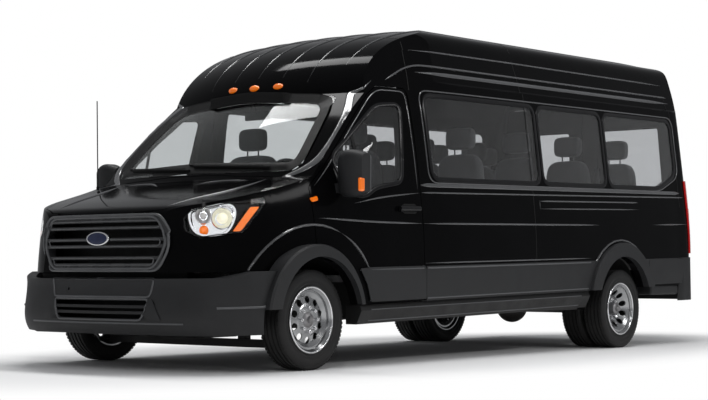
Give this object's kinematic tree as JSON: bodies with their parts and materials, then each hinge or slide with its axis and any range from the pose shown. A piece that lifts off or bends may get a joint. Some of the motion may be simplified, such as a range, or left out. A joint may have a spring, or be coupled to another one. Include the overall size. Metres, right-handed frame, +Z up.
{
  "type": "minibus",
  "caption": "High-roof passenger minibus with hinged hood, side windows, hinged front and rear doors and dual rear wheels.",
  "frame": {"origin": "on the ground below the middle of the vehicle's length and width", "axes": "+X forward along the vehicle, +Y to its left, +Z up"},
  "size_m": [6.2866, 2.528, 2.552],
  "materials": {
    "paint": "gloss black",
    "trim": "grained charcoal",
    "gloss_trim": "smooth black",
    "glass_clear": "clear",
    "glass_dark": "dark tint",
    "lamp_clear": "clear lens",
    "lamp_red": "red lens",
    "lamp_amber": "amber lens",
    "steel_painted": "satin black",
    "steel_bare": "bare",
    "cast": "cast",
    "rim": "silver",
    "tyre": "matt",
    "fabric": "woven",
    "floor_cover": "vinyl"
  },
  "bodies": {
    "body": {"roof": "paint", "windscreen_frame": "paint", "windscreen": "glass_clear", "fender_left": "paint", "fender_right": "paint", "body_side_left": "paint", "body_side_right": "paint", "door_sliding": "paint", "side_glass_left": "glass_dark", "side_glass_right": "glass_dark", "head_lamps": "lamp_clear", "grille": "gloss_trim", "bumper_front": "trim", "cladding_left": "trim", "cladding_right": "trim", "flares_left": "trim", "flares_right": "trim", "rockers": "steel_painted", "bumper_rear": "trim", "tail_lamps": "lamp_red", "roof_marker_lamps": "lamp_amber", "aerial_mast": "gloss_trim", "floor": "floor_cover", "frame_rails": "steel_painted", "engine": "cast", "fuel_tank": "steel_painted", "rear_axle": "cast", "leaf_springs": "steel_bare", "front_arms": "steel_painted", "struts": "steel_bare", "seats": "fabric", "seat_pedestals": "steel_painted", "dashboard": "trim", "steering_wheel": "gloss_trim"},
    "front_door_left": {"door_front_left": "paint", "door_glass_left": "glass_dark", "mirror_left": "trim"},
    "rear_door_left": {"door_rear_left": "paint", "rear_glass_left": "glass_dark"},
    "steer_left": {"knuckle_left": "cast"},
    "front_wheel_left": {"tyre_front_left": "tyre", "rim_front_left": "rim"},
    "rear_wheels_left": {"tyres_rear_left": "tyre", "rims_rear_left": "rim"},
    "front_door_right": {"door_front_right": "paint", "door_glass_right": "glass_dark", "mirror_right": "trim"},
    "rear_door_right": {"door_rear_right": "paint", "rear_glass_right": "glass_dark"},
    "steer_right": {"knuckle_right": "cast"},
    "front_wheel_right": {"tyre_front_right": "tyre", "rim_front_right": "rim"},
    "rear_wheels_right": {"tyres_rear_right": "tyre", "rims_rear_right": "rim"},
    "hood": {"hood": "paint"}
  },
  "joints": [
    {"name": "front_door_left_hinge", "type": "hinge", "parent": "body", "child": "front_door_left", "pos_m": [2.20693, 1.096, 0.80017], "axis": [-0.0209, 0, -0.9998], "range_deg": [0, 68]},
    {"name": "rear_door_left_hinge", "type": "hinge", "parent": "body", "child": "rear_door_left", "pos_m": [-3.06054, 0.93, 1.31059], "axis": [-0.0209, 0, -0.9998], "range_deg": [0, 170]},
    {"name": "steer_left_swivel", "type": "hinge", "parent": "body", "child": "steer_left", "pos_m": [2.21, 0.796, 0.326], "axis": [0, 0, 1], "range_deg": [-33, 33]},
    {"name": "front_wheel_left_spin", "type": "hinge", "parent": "steer_left", "child": "front_wheel_left", "pos_m": [2.21, 0.935, 0.326], "axis": [0, 1, 0], "continuous": true},
    {"name": "rear_wheels_left_spin", "type": "hinge", "parent": "body", "child": "rear_wheels_left", "pos_m": [-1.74, 0.89, 0.326], "axis": [0, 1, 0], "continuous": true},
    {"name": "front_door_right_hinge", "type": "hinge", "parent": "body", "child": "front_door_right", "pos_m": [2.20693, -1.096, 0.80017], "axis": [0.0209, 0, 0.9998], "range_deg": [0, 68]},
    {"name": "rear_door_right_hinge", "type": "hinge", "parent": "body", "child": "rear_door_right", "pos_m": [-3.06054, -0.93, 1.31059], "axis": [0.0209, 0, 0.9998], "range_deg": [0, 170]},
    {"name": "steer_right_swivel", "type": "hinge", "parent": "body", "child": "steer_right", "pos_m": [2.21, -0.796, 0.326], "axis": [0, 0, 1], "range_deg": [-33, 33]},
    {"name": "front_wheel_right_spin", "type": "hinge", "parent": "steer_right", "child": "front_wheel_right", "pos_m": [2.21, -0.935, 0.326], "axis": [0, 1, 0], "continuous": true},
    {"name": "rear_wheels_right_spin", "type": "hinge", "parent": "body", "child": "rear_wheels_right", "pos_m": [-1.74, -0.89, 0.326], "axis": [0, 1, 0], "continuous": true},
    {"name": "hood_hinge", "type": "hinge", "parent": "body", "child": "hood", "pos_m": [2.1701, 0, 1.28605], "axis": [0, -1, 0], "range_deg": [0, 50]}
  ],
  "couplings": [
    {"joint": "steer_right_swivel", "follows": "steer_left_swivel", "ratio": 1}
  ]
}
